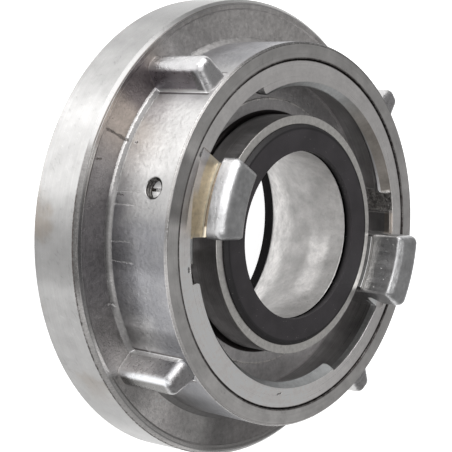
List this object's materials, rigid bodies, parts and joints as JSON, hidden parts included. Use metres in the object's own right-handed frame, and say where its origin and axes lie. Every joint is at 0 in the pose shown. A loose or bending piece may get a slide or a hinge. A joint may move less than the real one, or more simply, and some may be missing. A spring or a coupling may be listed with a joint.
{
  "type": "quarter turn hose coupling adapter",
  "caption": "Cast aluminium adapter joining a large and a small quarter-turn claw coupling, with a turning insert, rubber face seals and spanner ribs.",
  "frame": {"origin": "on the waterway axis, in the plane of the large end's claw tips, on which the adapter stands", "axes": "+Z along the waterway, out of the small end; +X and +Y across it, with the large end's claws on the Y axis"},
  "size_m": [0.126, 0.126, 0.0588],
  "materials": {
    "body_casting": "satin turned rim and face, as cast flange and barrel",
    "insert_casting": "satin turned faces, dark as cast channel",
    "seal_rubber": "matt moulded",
    "screw_steel": "bright"
  },
  "bodies": {
    "outer": {"outer_body": "body_casting", "set_screw_1": "screw_steel", "set_screw_2": "screw_steel", "set_screw_3": "screw_steel"},
    "insert": {"insert_body": "insert_casting", "front_gasket": "seal_rubber", "rear_gasket": "seal_rubber"}
  },
  "joints": [
    {"name": "insert_turn", "type": "hinge", "parent": "outer", "child": "insert", "pos_m": [0, 0, 0.03], "axis": [0, 0, 1], "continuous": true}
  ]
}
